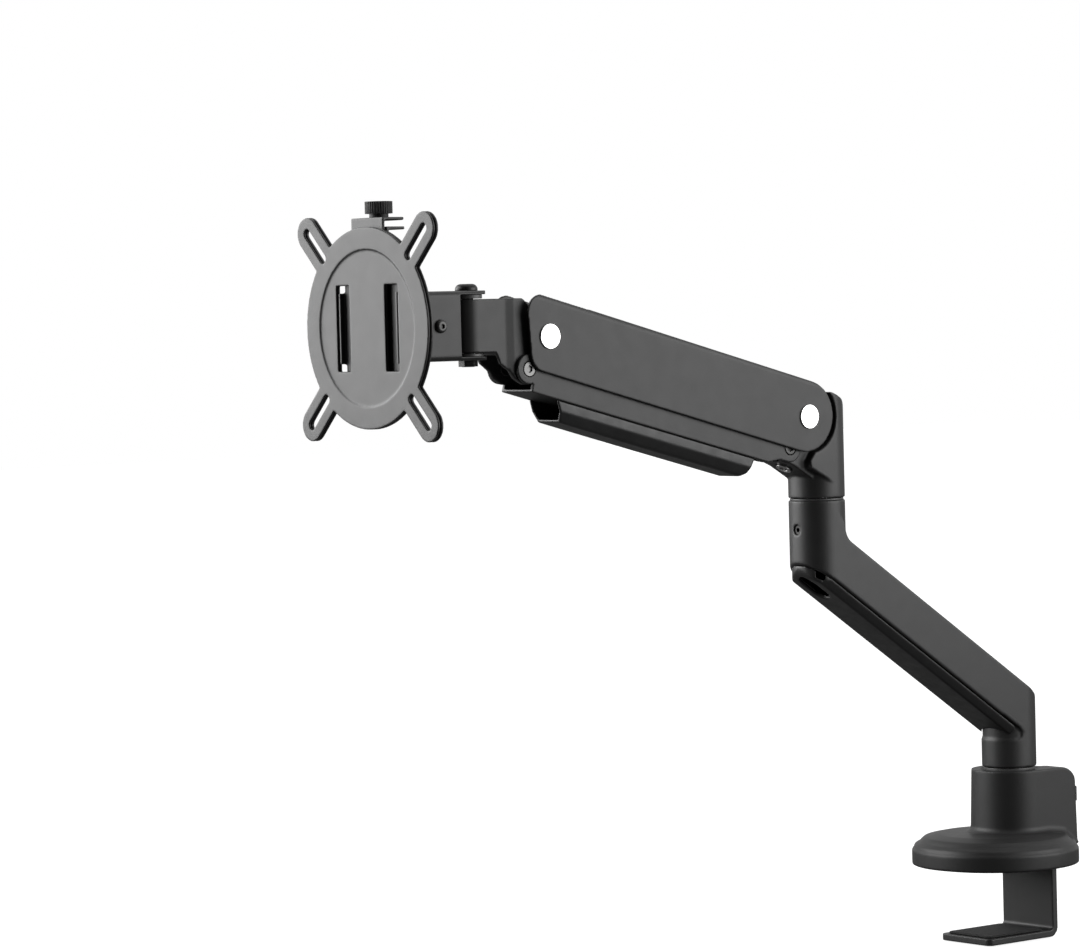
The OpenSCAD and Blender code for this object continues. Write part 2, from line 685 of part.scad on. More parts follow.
module cable_cover_rivets() color(steel) for (u = [60, 140]) arm_solid()
  translate([u, 0, -link_low - 11.4 - rivet_len]) cylinder(r = 2.2, h = rivet_len);

// ---- head ----
module knuckle_side() {
  translate([fy, fz]) circle(r = 10);
  translate(link_front) circle(r = 8.3);
  polygon([[-pan_y, barrel_low], [11.7 - pan_y, barrel_low], [14.4 - pan_y, barrel_low - 6.1],
    [20 - pan_y, barrel_low - 10], [22.6 - pan_y, barrel_low - 14],
    [link_front[0] - 3, link_front[1] - 7.7], [link_front[0] + 8, link_front[1] - 2], [fy + 9, fz - 4],
    [fy + 7, fz + 7], [fy - 6, fz + 14], [fy - 14, barrel_high], [-pan_y, barrel_high]]);
}

module knuckle() color(black) difference() {
  union() {
    pin_z(barrel_low, barrel_high, barrel_r, 0, -pan_y);
    intersection() {
      across(-core_half_w, core_half_w) knuckle_side();
      translate([0, 0, knuckle_low]) linear_extrude(60) polygon([[-barrel_r, -pan_y], [barrel_r, -pan_y],
        [barrel_r, 18 - pan_y], [core_half_w, 23 - pan_y], [core_half_w, fy + 20],
        [-core_half_w, fy + 20], [-core_half_w, 23 - pan_y], [-barrel_r, 18 - pan_y]]);
    }
  }
  translate([-7.3, 12.5 - pan_y, knuckle_low]) cube([14.6, pan_gap + 20, 60]);
  pin_z(barrel_low - 5, barrel_high + 5, pan_pin_r + 0.05, 0, -pan_y);
  pin_x(-20, 20, pin_r + 0.05, fy, fz);
  pin_x(-20, 20, link_screw_r, link_front[0], link_front[1]);
}

module tilt_bracket() color(black) difference() {
  intersection() {
    translate([0, 0, yoke_low]) linear_extrude(yoke_high - yoke_low) union() {
      translate([0, -pan_y]) circle(r = yoke_half_w - 0.1);
      translate([-yoke_half_w, -tilt_y - 11]) square([2 * yoke_half_w, 25]);
      translate([-yoke_half_w + 0.1, -tilt_y]) square([2 * yoke_half_w - 0.2, tilt_y - pan_y]);
    }
    translate([0, 0, head_z]) rotate([90, 0, 0]) translate([0, 0, pan_y - 24]) linear_extrude(80)
      rounded([[-yoke_half_w, yoke_low - head_z, 3], [yoke_half_w, yoke_low - head_z, 3],
        [yoke_half_w, yoke_high - head_z, 3], [-yoke_half_w, yoke_high - head_z, 3]]);
  }
  translate([-yoke_half_w + yoke_t, -tilt_y - 20, yoke_low + yoke_t])
    cube([2 * (yoke_half_w - yoke_t), 80, yoke_high - yoke_low - 2 * yoke_t]);
  translate([-20, -tilt_y + 14, yoke_low + yoke_t]) cube([40, 40, yoke_high - yoke_low - 2 * yoke_t]);
  translate([-yoke_half_w + yoke_t, -tilt_y - 20, yoke_low - 1])
    cube([2 * (yoke_half_w - yoke_t), 14.5, 50]);
  pin_z(yoke_low - 1, yoke_high + 1, pan_pin_r, 0, -pan_y);
  pin_x(-20, 20, 3, -tilt_y, head_z);
}

module pan_pin() color(dark) union() {
  pin_z(yoke_low - 3.4, yoke_high, pan_pin_r, 0, -pan_y);
  translate([0, -pan_y, yoke_high]) rotate_extrude() rounded([[0, 0, 0], [6, 0, 0], [6, 3.6, 3],
    [0, 3.6, 0]]);
}

module pan_nut() color(dark) difference() {
  translate([0, -pan_y, yoke_low - 3.2]) cylinder(r = 5.2, h = 3.2, $fn = 6);
  pin_z(yoke_low - 5, yoke_low + 1, pan_pin_r, 0, -pan_y);
}

module pan_washer(z0, z1) difference() {
  pin_z(z0, z1, 8.2, 0, -pan_y);
  pin_z(z0 - 1, z1 + 1, pan_pin_r, 0, -pan_y);
}

module pan_washer_top() color(steel) pan_washer(barrel_high + turn_gap, yoke_high - yoke_t);
module pan_washer_low() color(steel) pan_washer(yoke_low + yoke_t, barrel_low - turn_gap);

module tilt_hub() color(black) difference() {
  union() {
    pin_x(-yoke_half_w + yoke_t + 0.35, yoke_half_w - yoke_t - 0.35, 9, -tilt_y, head_z);
    translate([-yoke_half_w + yoke_t + 0.35, -plate_front + 14, head_z - 7])
      cube([2 * (yoke_half_w - yoke_t - 0.35), plate_front - 14 - tilt_y, 14]);
    pin_y(-plate_front + 6.4, -plate_front + 15, 16.5, 0, head_z);
  }
  pin_x(-20, 20, 3.05, -tilt_y, head_z);
  pin_y(-plate_front, -plate_front + 24, 4.05, 0, head_z);
}

// round-headed tilt screw on the +X side
module tilt_screw() {
  pin_x(0, yoke_half_w, 3, -tilt_y, head_z);
  translate([yoke_half_w, -tilt_y, head_z]) rotate([0, 90, 0]) difference() {
    rotate_extrude() rounded([[0, 0, 0], [3.5, 0, 0], [3.5, 2.2, 1.6], [0, 2.2, 0]]);
    translate([0, 0, 1]) socket(1.4, 3);
  }
}

module tilt_screw_right() color(dark) tilt_screw();
module tilt_screw_left() color(dark) mirror([1, 0, 0]) tilt_screw();

module hub_spindle() color(steel) union() {
  pin_y(-plate_front + 4.1, -plate_front + 22, 4, 0, head_z);
  pin_y(-plate_front + 3.6, -plate_front + 4.2, 7.5, 0, head_z);
}

module release_plate() color(dark) difference() {
  union() {
    translate([-release_half_w, -plate_front + 4.2, head_z - release_h / 2])
      cube([2 * release_half_w, 1.8, release_h]);
    translate([-tab_w, -plate_front + 4.2, head_z]) cube([2 * tab_w, 1.8, plate_r - 0.3]);
    translate([-tab_w, -plate_front + 4.2, head_z + plate_r - 1.9]) cube([2 * tab_w, 12, 1.6]);
    for (x = [-release_half_w - hook_t + 0.1, release_half_w - 0.1])
      translate([x, -plate_front + 1.2, head_z - hook_h / 2]) cube([hook_t, 4.8, hook_h]);
  }
  pin_y(-plate_front, -plate_front + 10, 4, 0, head_z);
  pin_z(head_z + 40, head_z + plate_r + 8, 2.6, 0, -plate_front + 10);
}

// ---- screen plate ----
module ear_pair(r, near, far) {
  for (a = [45, 135]) rotate(a) {
    for (s = [-far, far]) translate([s, 0]) circle(r = r);
    translate([-far, -r]) square([2 * far, 2 * r]);
  }
}

module ear_slots() {
  for (a = [45:90:315]) rotate(a) {
    for (d = [slot_near, slot_far]) translate([d, 0]) circle(r = slot_r);
    translate([slot_near, -slot_r]) square([slot_far - slot_near, 2 * slot_r]);
  }
}

module plate_outline(g) {
  circle(r = plate_r - g);
  ear_pair(ear_r - g, 0, slot_far);
}

// upright sheet between two distances behind the plate's front face
module sheet(y0, y1) {
  translate([0, -plate_front + y0, head_z]) rotate([90, 0, 0]) mirror([0, 0, 1]) linear_extrude(y1 - y0)
    children();
}

module hook_slots() {
  for (x = [-20.7, 20.7]) translate([x - 5.5, -22.2]) square([11, 44.4]);
}

module screen_plate() color(black) difference() {
  sheet(0, sheet_t) plate_outline(0);
  sheet(-1, 0.7) circle(r = recess_r);
  sheet(-1, 5) ear_slots();
  sheet(-1, 5) hook_slots();
}

module backing_plate() color(black) difference() {
  union() {
    sheet(sheet_t, sheet_t + 0.5) plate_outline(1.2);
    sheet(sheet_t + 0.5, 2 * sheet_t + 0.5) plate_outline(0);
    sheet(sheet_t + 0.5, 2 * sheet_t + 0.5) rounded([[-tab_w, plate_r - 6, 0], [tab_w, plate_r - 6, 0],
      [tab_w, plate_r + 4.6, 0], [-tab_w, plate_r + 4.6, 0]]);
    translate([-tab_w, -plate_front + sheet_t + 0.5, head_z + plate_r + 2.9]) cube([2 * tab_w, 14, 1.7]);
  }
  sheet(0, 5) ear_slots();
  sheet(0, 5) hook_slots();
  sheet(0, 5) circle(r = 9);
  pin_z(head_z + 40, head_z + plate_r + 8, 2.65, 0, -plate_front + 10);
}

module thumb_shank() color(steel)
  pin_z(head_z + plate_r - 6.3, head_z + plate_r + 8, 2.5, 0, -plate_front + 10);

module thumb_head() color(dark) translate([0, -plate_front + 10, head_z + plate_r + 4.6]) difference() {
  union() {
    cylinder(r = 5, h = 2.2);
    translate([0, 0, 2.1]) cylinder(r = thumb_r, h = 6.3);
  }
  for (a = [0:10:350]) rotate(a) translate([thumb_r + 0.28, 0, 2]) cylinder(r = 0.5, h = 8, $fn = 24);
  translate([0, 0, -1]) cylinder(r = 2.5, h = 4.4);
}

base_plate();
desk_pad();
base_housing();
base_post();
bridge_plate();
tool_clip();
base_washer();
clamp_screw();
clamp_bracket();
clamp_nut();
jaw_pad();
lower_arm();
lower_bush();
upper_bush();
lower_cover();
cover_screw();
friction_screw();
elbow_washer();
elbow_bracket();
elbow_spindle();
rear_screw_right();
rear_screw_left();
spring_anchor();
spring_adjuster();
upper_cover();
rear_pin();
front_pin();
rear_cap_right();
rear_cap_left();
front_cap_right();
front_cap_left();
spring_cylinder();
spring_pin();
spring_rod();
lower_link();
cable_cover();
cable_cover_rivets();
knuckle();
front_screw_right();
front_screw_left();
tilt_bracket();
pan_pin();
pan_nut();
pan_washer_top();
pan_washer_low();
tilt_hub();
tilt_screw_right();
tilt_screw_left();
hub_spindle();
release_plate();
screen_plate();
backing_plate();
thumb_shank();
thumb_head();
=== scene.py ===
import json
import math

import bmesh
import bpy
from mathutils import Matrix, Vector
from mathutils.bvhtree import BVHTree


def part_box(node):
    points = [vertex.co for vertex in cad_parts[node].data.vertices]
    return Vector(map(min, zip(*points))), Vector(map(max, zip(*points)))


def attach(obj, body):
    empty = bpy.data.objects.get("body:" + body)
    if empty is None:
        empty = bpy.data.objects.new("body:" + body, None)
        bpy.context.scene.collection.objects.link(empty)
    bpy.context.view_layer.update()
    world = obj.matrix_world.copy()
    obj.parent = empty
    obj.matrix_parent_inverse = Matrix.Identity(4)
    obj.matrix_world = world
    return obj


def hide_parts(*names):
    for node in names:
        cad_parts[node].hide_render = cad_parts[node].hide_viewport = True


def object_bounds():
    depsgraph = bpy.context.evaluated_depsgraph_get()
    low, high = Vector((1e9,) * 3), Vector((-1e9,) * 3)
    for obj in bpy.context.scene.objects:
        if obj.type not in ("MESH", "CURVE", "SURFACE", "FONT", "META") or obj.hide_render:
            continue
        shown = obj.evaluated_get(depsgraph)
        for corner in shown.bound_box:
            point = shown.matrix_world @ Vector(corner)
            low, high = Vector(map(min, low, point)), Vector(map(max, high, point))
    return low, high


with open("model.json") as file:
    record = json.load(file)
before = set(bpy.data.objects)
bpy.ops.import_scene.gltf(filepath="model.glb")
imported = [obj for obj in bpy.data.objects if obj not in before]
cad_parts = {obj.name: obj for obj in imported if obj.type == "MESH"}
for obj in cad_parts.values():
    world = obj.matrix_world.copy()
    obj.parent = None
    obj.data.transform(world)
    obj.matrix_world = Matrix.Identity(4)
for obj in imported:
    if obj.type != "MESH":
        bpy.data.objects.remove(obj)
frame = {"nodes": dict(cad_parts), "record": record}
cad_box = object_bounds()

MM = 0.001
scene = bpy.context.scene

# a noise node's values that count as its low and its high
NOISE_LOW, NOISE_HIGH = 0.3, 0.7
# wear shows where a bevelled normal and the face's own normal part: their dot product, flat to worn
EDGE_FROM, EDGE_TO = 0.995, 0.80
EDGE_SAMPLES = 4


# ---- materials ----
def srgb(grey, tint=(1.0, 1.0, 1.0)):
    """Linear colour of an sRGB grey from 0 to 255, times a tint."""
    c = grey / 255.0
    v = c / 12.92 if c <= 0.04045 else ((c + 0.055) / 1.055) ** 2.4
    return (v * tint[0], v * tint[1], v * tint[2], 1.0)


class Nodes:
    """Short ways to add and join shader nodes."""

    def __init__(self, name):
        self.material = bpy.data.materials.new(name)
        self.material.use_nodes = True
        self.tree = self.material.node_tree
        self.shader = self.tree.nodes["Principled BSDF"]
        self.place = self.tree.nodes.new("ShaderNodeTexCoord").outputs["Object"]

    def link(self, source, target):
        self.tree.links.new(source, target)

    def noise(self, size_mm, detail=2.0, rough=0.5):
        n = self.tree.nodes.new("ShaderNodeTexNoise")
        n.inputs["Scale"].default_value = 1.0 / (size_mm * MM)
        n.inputs["Detail"].default_value = detail
        n.inputs["Roughness"].default_value = rough
        self.link(self.place, n.inputs["Vector"])
        return n.outputs["Fac"]

    def tinted(self, colour, value):
        """The colour with its brightness times a varying value."""
        n = self.tree.nodes.new("ShaderNodeHueSaturation")
        n.inputs["Color"].default_value = colour
        self.link(value, n.inputs["Value"])
        return n.outputs["Color"]

    def remap(self, value, low, high, to_low, to_high):
        m = self.tree.nodes.new("ShaderNodeMapRange")
        for socket, v in (("From Min", low), ("From Max", high), ("To Min", to_low), ("To Max", to_high)):
            m.inputs[socket].default_value = v
        self.link(value, m.inputs["Value"])
        return m.outputs["Result"]

    def spread(self, noise, middle, share):
        """A noise value spread evenly about a middle."""
        return self.remap(noise, NOISE_LOW, NOISE_HIGH, middle - share, middle + share)

    def math(self, operation, a, b):
        m = self.tree.nodes.new("ShaderNodeMath")
        m.operation = operation
        for i, v in enumerate((a, b)):
            if isinstance(v, (int, float)):
                m.inputs[i].default_value = v
            else:
                self.link(v, m.inputs[i])
        return m.outputs["Value"]

    def mix(self, factor, a, b):
        m = self.tree.nodes.new("ShaderNodeMix")
        m.data_type = "RGBA"
        self.link(factor, m.inputs["Factor"])
        for socket, v in (("A", a), ("B", b)):
            target = [s for s in m.inputs if s.name == socket and s.type == "RGBA"][0]
            if isinstance(v, tuple):
                target.default_value = v
            else:
                self.link(v, target)
        return [s for s in m.outputs if s.type == "RGBA"][0]

    def edges(self, radius_mm):
        """About 1 on outer edges and 0 on flat faces."""
        bevel = self.tree.nodes.new("ShaderNodeBevel")
        bevel.samples = EDGE_SAMPLES
        bevel.inputs["Radius"].default_value = radius_mm * MM
        geometry = self.tree.nodes.new("ShaderNodeNewGeometry")
        dot = self.tree.nodes.new("ShaderNodeVectorMath")
        dot.operation = "DOT_PRODUCT"
        self.link(bevel.outputs["Normal"], dot.inputs[0])
        self.link(geometry.outputs["Normal"], dot.inputs[1])
        return self.remap(dot.outputs["Value"], EDGE_FROM, EDGE_TO, 0.0, 1.0)

    def bump(self, height, strength, depth_mm):
        b = self.tree.nodes.new("ShaderNodeBump")
        b.inputs["Strength"].default_value = strength
        b.inputs["Distance"].default_value = depth_mm * MM
        self.link(height, b.inputs["Height"])
        return b.outputs["Normal"]


def painted(name, grey, rough, spec):
    """Fine-textured powder coat: speckled colour, soft mottling, slight shine where edges are handled."""
    grain_mm, grain_depth_mm, grain_strength = 0.45, 0.05, 0.35
    cloud_mm, patch_mm, worn_mm, edge_mm = 28.0, 9.0, 6.0, 0.5
    fleck_share, cloud_share, patch_share = 0.10, 0.04, 0.02
    worn_grey, most_wear, worn_shine = 150, 0.25, 0.25
    n = Nodes(name)
    grain = n.noise(grain_mm, 3.0, 0.6)
    fleck = n.spread(grain, 1, fleck_share)
    cloud = n.spread(n.noise(cloud_mm, 3.0), 1, cloud_share)
    colour = n.tinted(srgb(grey), n.math("MULTIPLY", fleck, cloud))
    patches = n.remap(n.noise(worn_mm, 4.0, 0.7), 0.45, 0.70, 0.0, most_wear)
    worn = n.math("MULTIPLY", n.edges(edge_mm), patches)
    n.link(n.mix(worn, colour, srgb(worn_grey)), n.shader.inputs["Base Color"])
    uneven = n.spread(n.noise(patch_mm, 4.0, 0.6), rough, patch_share)
    n.link(n.math("SUBTRACT", uneven, n.math("MULTIPLY", worn, worn_shine)), n.shader.inputs["Roughness"])
    n.shader.inputs["Specular IOR Level"].default_value = spec
    n.link(n.bump(grain, grain_strength, grain_depth_mm), n.shader.inputs["Normal"])
    return n.material


def moulded(name, grey, rough, spec=0.4):
    """Moulded plastic: finer, softer grain than the paint, with faint handling marks."""
    grain_mm, grain_depth_mm, grain_strength = 0.22, 0.03, 0.25
    cloud_mm, patch_mm, worn_mm, edge_mm = 18.0, 7.0, 4.0, 0.4
    cloud_share, patch_share = 0.08, 0.06
    worn_grey, most_wear = 120, 0.18
    n = Nodes(name)
    colour = n.tinted(srgb(grey), n.spread(n.noise(cloud_mm, 3.0), 1, cloud_share))
    patches = n.remap(n.noise(worn_mm, 3.0), 0.45, 0.7, 0.0, most_wear)
    worn = n.math("MULTIPLY", n.edges(edge_mm), patches)
    n.link(n.mix(worn, colour, srgb(worn_grey)), n.shader.inputs["Base Color"])
    n.link(n.spread(n.noise(patch_mm, 4.0, 0.6), rough, patch_share), n.shader.inputs["Roughness"])
    n.shader.inputs["Specular IOR Level"].default_value = spec
    n.link(n.bump(n.noise(grain_mm), grain_strength, grain_depth_mm), n.shader.inputs["Normal"])
    return n.material


def metal(name, grey, rough):
    """Plated or turned steel: a fine grain and a little dulling on the edges."""
    grain_mm, grain_depth_mm, grain_strength = 0.25, 0.02, 0.15
    patch_mm, dull_mm, edge_mm = 4.0, 3.0, 0.35
    warm = (1.0, 0.995, 0.985)
    dull_grey = grey * 0.6
    n = Nodes(name)
    grain = n.noise(grain_mm, 3.0, 0.6)
    colour = n.tinted(srgb(grey, warm), n.remap(grain, NOISE_LOW, NOISE_HIGH, 0.93, 1.05))
    dull = n.math("MULTIPLY", n.edges(edge_mm), n.remap(n.noise(dull_mm, 3.0), 0.4, 0.7, 0.1, 0.5))
    n.link(n.mix(dull, colour, srgb(dull_grey)), n.shader.inputs["Base Color"])
    n.shader.inputs["Metallic"].default_value = 1.0
    patches = n.remap(n.noise(patch_mm, 4.0, 0.6), NOISE_LOW, NOISE_HIGH, rough - 0.05, rough + 0.07)
    n.link(patches, n.shader.inputs["Roughness"])
    n.link(n.bump(grain, grain_strength, grain_depth_mm), n.shader.inputs["Normal"])
    return n.material


def rubbery(name, grey):
    """Soft pad: dull, with a coarse pebbled grain."""
    pebble_mm, pebble_depth_mm, pebble_strength = 0.9, 0.08, 0.3
    cloud_mm, patch_mm, cloud_share = 6.0, 3.0, 0.2
    n = Nodes(name)
    cell = n.tree.nodes.new("ShaderNodeTexVoronoi")
    cell.inputs["Scale"].default_value = 1.0 / (pebble_mm * MM)
    n.link(n.place, cell.inputs["Vector"])
    colour = n.tinted(srgb(grey), n.spread(n.noise(cloud_mm, 4.0), 1, cloud_share))
    n.link(colour, n.shader.inputs["Base Color"])
    n.link(n.remap(n.noise(patch_mm, 3.0), NOISE_LOW, NOISE_HIGH, 0.75, 0.9), n.shader.inputs["Roughness"])
    n.shader.inputs["Specular IOR Level"].default_value = 0.3
    n.link(n.bump(cell.outputs["Distance"], pebble_strength, pebble_depth_mm), n.shader.inputs["Normal"])
    return n.material


MATERIALS = {
    "black_paint": painted("powder_coat", 27, 0.46, spec=0.38),
    "base_paint": painted("base_powder_coat", 23, 0.50, spec=0.32),
    "black_plastic": moulded("moulded_plastic", 24, 0.42),
    "rubber": rubbery("rubber", 30),
    "steel": metal("turned_steel", 185, 0.28),
    "dark_steel": metal("blackened_steel", 52, 0.42),
    "zinc": metal("zinc_screw", 96, 0.36),
    # painted shade: a darker copy of the zinc for the screws that sit in shadow
    "shaded_zinc": metal("shaded_zinc_screw", 70, 0.44),
    "knob": moulded("knob_plastic", 15, 0.55, spec=0.28),
    "bright": metal("bright_cap", 235, 0.22),
    "washer": moulded("seam_washer", 60, 0.40),
}


def dress(obj, slot):
    obj.data.materials.clear()
    obj.data.materials.append(MATERIALS[slot])


SLOT_NODES = {
    "base_paint": ["base_plate", "base_housing"],
    "black_plastic": ["lower_cover", "cable_cover", "tool_clip", "spring_cylinder"],
    "knob": ["thumb_head"],
    "rubber": ["desk_pad", "jaw_pad"],
    "steel": ["base_post", "bridge_plate", "clamp_screw", "clamp_nut", "lower_bush", "upper_bush",
              "elbow_spindle", "spring_anchor", "rear_pin", "front_pin", "spring_pin", "spring_rod",
              "hub_spindle", "thumb_shank", "spring_adjuster"],
    "dark_steel": ["friction_screw", "pan_pin", "pan_nut"],
    "zinc": ["front_screw_right", "front_screw_left", "cable_cover_rivets", "cover_screw"],
    # the rear and tilt screws take the darker zinc copy, painted shade for their shadowed place
    "shaded_zinc": ["rear_screw_right", "rear_screw_left", "tilt_screw_right", "tilt_screw_left"],
    "bright": ["rear_cap_right", "rear_cap_left", "front_cap_right", "front_cap_left"],
    "washer": ["base_washer", "elbow_washer", "pan_washer_top", "pan_washer_low"],
}
slot_of = {node: slot for slot, members in SLOT_NODES.items() for node in members}


# ---- pieces ----
bodies = frame["record"]["behaviour"]["bodies"]
body_of = {node: body for body, members in bodies.items() for node in members}

# mm: points closer than this are one point
WELD_GAP = 0.002
# a turned piece's rounded edges: width in mm, steps, and the least angle in degrees that counts as an edge
EDGE_WIDTH, EDGE_STEPS, EDGE_ANGLE = 0.3, 3, 32
# degrees: faces that meet flatter than this are one face
FLAT_ANGLE = 0.6


def soften(obj):
    """Rounds a plain turned piece's hard edges without touching its mesh."""
    weld = obj.modifiers.new("weld", "WELD")
    weld.merge_threshold = WELD_GAP * MM
    flat = obj.modifiers.new("flat", "DECIMATE")
    flat.decimate_type = "DISSOLVE"
    flat.angle_limit = math.radians(FLAT_ANGLE)
    bevel = obj.modifiers.new("bevel", "BEVEL")
    bevel.width = EDGE_WIDTH * MM
    bevel.segments = EDGE_STEPS
    bevel.limit_method = "ANGLE"
    bevel.angle_limit = math.radians(EDGE_ANGLE)
    bevel.use_clamp_overlap = True
    bevel.miter_outer = "MITER_ARC"
    normals = obj.modifiers.new("normals", "WEIGHTED_NORMAL")
    normals.keep_sharp = True
    for p in obj.data.polygons:
        p.use_smooth = True


def applied(obj):
    """The object's mesh with its modifiers worked in."""
    graph = bpy.context.evaluated_depsgraph_get()
    mesh = bpy.data.meshes.new_from_object(obj.evaluated_get(graph))
    obj.modifiers.clear()
    obj.data = mesh
    return mesh


def cast(node, voxel_mm, passes, share, shape=None, added=None):
    """The node's form remade as one skin with rounded edges, as casting, moulding or paint leaves them.
    share is the part of the faces that stay. added is a closed mesh that melts into the skin. shape moves
    the skin's points before they are smoothed: it takes a point in mm and gives the new one."""
    obj = bpy.data.objects.new(node + "_skin", frame["nodes"][node].data.copy())
    scene.collection.objects.link(obj)
    if added:
        joined = bmesh.new()
        joined.from_mesh(obj.data)
        joined.from_mesh(added)
        joined.to_mesh(obj.data)
        joined.free()
    weld = obj.modifiers.new("weld", "WELD")
    weld.merge_threshold = WELD_GAP * MM
    skin = obj.modifiers.new("skin", "REMESH")
    skin.mode = "VOXEL"
    skin.voxel_size = voxel_mm * MM * 1.0
    if shape:
        mesh = applied(obj)
        for v in mesh.vertices:
            v.co = Vector(shape(*(v.co / MM))) * MM
    relax = obj.modifiers.new("relax", "SMOOTH")
    relax.factor = 0.5
    relax.iterations = passes
    thin = obj.modifiers.new("thin", "DECIMATE")
    thin.ratio = share
    mesh = applied(obj)
    mesh.polygons.foreach_set("use_smooth", [True] * len(mesh.polygons))
    slot = slot_of.get(node, "black_paint")
    dress(obj, slot)
    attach(obj, body_of[node])
    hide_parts(node)
    return obj


# the clamp housing's walls lean in slightly and sweep out onto the base plate in a hollow foot, in mm
DRAFT_OUT, DRAFT_IN = 0.5, 0.6
FOOT_R = 3.4
FOOT_R_BACK = 0.6
FOOT_FADE = 12.0
FOOT_SUNK = 1.0
FOOT_STEPS = 6
WALL_IN = 1.5
CORNER_R = 2.5
CORNER_STEPS = 3
FRONT_STEPS = 24
SIDE_STEPS = 10
house_lo, house_hi = (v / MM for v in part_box("base_housing"))
foot_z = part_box("base_plate")[1].z / MM


def housing_form(x, y, z):
    """Draft on the housing's round front and sides: out at the foot and in at the top."""
    push = DRAFT_OUT - (DRAFT_OUT + DRAFT_IN) * (z - foot_z) / (house_hi.z - foot_z)
    swell = 1 + push / house_hi.x
    return (x * swell, y * swell if y < 0 else y, z)


def housing_outline():
    """Points round the housing's plan with their outward directions, anticlockwise from its left side."""
    r, back = house_hi.x, house_hi.y - CORNER_R
    rows = []
    for i in range(FRONT_STEPS + 1):
        a = math.pi * (1 + i / FRONT_STEPS)
        rows.append(((r * math.cos(a), r * math.sin(a)), (math.cos(a), math.sin(a))))
    rows += [((r, back * i / SIDE_STEPS), (1, 0)) for i in range(1, SIDE_STEPS)]
    for quarter in (0, 1):
        middle = (r - CORNER_R) * (1 - 2 * quarter)
        for i in range(CORNER_STEPS + 1):
            a = math.pi / 2 * (quarter + i / CORNER_STEPS)
            turn = (math.cos(a), math.sin(a))
            rows.append(((middle + CORNER_R * turn[0], back + CORNER_R * turn[1]), turn))
    rows += [((-r, back * i / SIDE_STEPS), (-1, 0)) for i in range(SIDE_STEPS - 1, 0, -1)]
    return rows


def housing_foot():
    """A closed band along the housing's foot with a hollow face, standing on the base plate's surface."""
    under = frame["nodes"]["base_plate"].data
    plate = BVHTree.FromPolygons([v.co for v in under.vertices], [tuple(f.vertices) for f in under.polygons])

    def ground(x, y):
        hit = plate.ray_cast(Vector((x, y, house_hi.z)) * MM, Vector((0, 0, -1)))[0]
        return hit.z / MM if hit else house_lo.z

    angles = [math.pi / 2 * i / FOOT_STEPS for i in range(FOOT_STEPS + 1)]
    foot = bmesh.new()
    rings = []
    for (x, y), (out_x, out_y) in housing_outline():
        fade = min(max((house_hi.y - y) / FOOT_FADE, 0.0), 1.0)
        reach = FOOT_R_BACK + (FOOT_R - FOOT_R_BACK) * fade * fade * (3 - 2 * fade)
        section = [(reach, -FOOT_SUNK)]
        section += [(reach * (1 - math.sin(a)), reach * (1 - math.cos(a))) for a in angles]
        section += [(-WALL_IN, reach), (-WALL_IN, -FOOT_SUNK)]
        ring = []
        for offset, rise in section:
            px, py = x + out_x * offset, y + out_y * offset
            ring.append(foot.verts.new(Vector((px, py, ground(px, py) + rise)) * MM))
        rings.append(ring)
    for ring, after in zip(rings, rings[1:] + rings[:1]):
        for i in range(len(ring)):
            j = (i + 1) % len(ring)
            foot.faces.new((ring[i], ring[j], after[j], after[i]))
    bmesh.ops.recalc_face_normals(foot, faces=foot.faces)
    mesh = bpy.data.meshes.new("housing_foot")
    foot.to_mesh(mesh)
    foot.free()
    return mesh


CASTINGS = [
    # node, voxel in mm, smoothing passes, share of faces kept
    ("lower_arm", 0.55, 8, 0.30),
    ("lower_cover", 0.60, 6, 0.30),
    ("elbow_bracket", 0.55, 6, 0.30),
    ("upper_cover", 0.50, 10, 0.25),
    ("lower_link", 0.50, 3, 0.25),
    ("cable_cover", 0.50, 4, 0.25),
    ("knuckle", 0.50, 5, 0.30),
    ("tilt_bracket", 0.45, 3, 0.30),
    ("tilt_hub", 0.50, 4, 0.30),
    ("screen_plate", 0.40, 15, 0.25),
    ("backing_plate", 0.42, 10, 0.25),
    ("release_plate", 0.45, 3, 0.25),
    ("base_plate", 0.60, 6, 0.30),
    ("clamp_bracket", 0.50, 4, 0.30),
    ("jaw_pad", 0.50, 3, 0.30),
]
for name, voxel, passes, share in CASTINGS:
    cast(name, voxel, passes, share)
cast("base_housing", 0.55, 6, 0.3, shape=housing_form, added=housing_foot())

replaced = {row[0] for row in CASTINGS} | {"base_housing"}
for name, obj in frame["nodes"].items():
    dress(obj, slot_of.get(name, "black_paint"))
    if name not in replaced:
        soften(obj)


# ---- studio ----
# the camera fitted to the photograph: degrees, then mm of lens and sensor, then metres
AZIMUTH, ELEVATION, ROLL = 51.03, 2.09, -1.48
LENS, SENSOR = 142.0, 36.0
DISTANCE = 2.4952
SHIFT_LEFT, SHIFT_DOWN = 0.2761, -0.2269
CLIP_NEAR, CLIP_FAR = 0.05, 50.0

# the world's strength on its bright side and on its dim side, and the dot products between which it changes
ROOM_BRIGHT, ROOM_DIM = 0.80, 0.05
ROOM_FROM, ROOM_TO = -0.1, 0.75
# the dim side's direction: towards the camera, to the picture's left and up
DIM_FORWARD, DIM_LEFT, DIM_UP = 0.89, 0.33, 0.30

# the floor: half its width and its distance below the part in metres, the grey that lights the part and
# the one seen, and its glow for the camera near the part and far from it
FLOOR_HALF, FLOOR_DROP = 8.0, 0.5 * MM
FLOOR_DARK, FLOOR_PALE = 0.10, 0.3
GLOW_NEAR, GLOW_FAR = 0.3, 1.2
GLOW_LEAST = 0.85


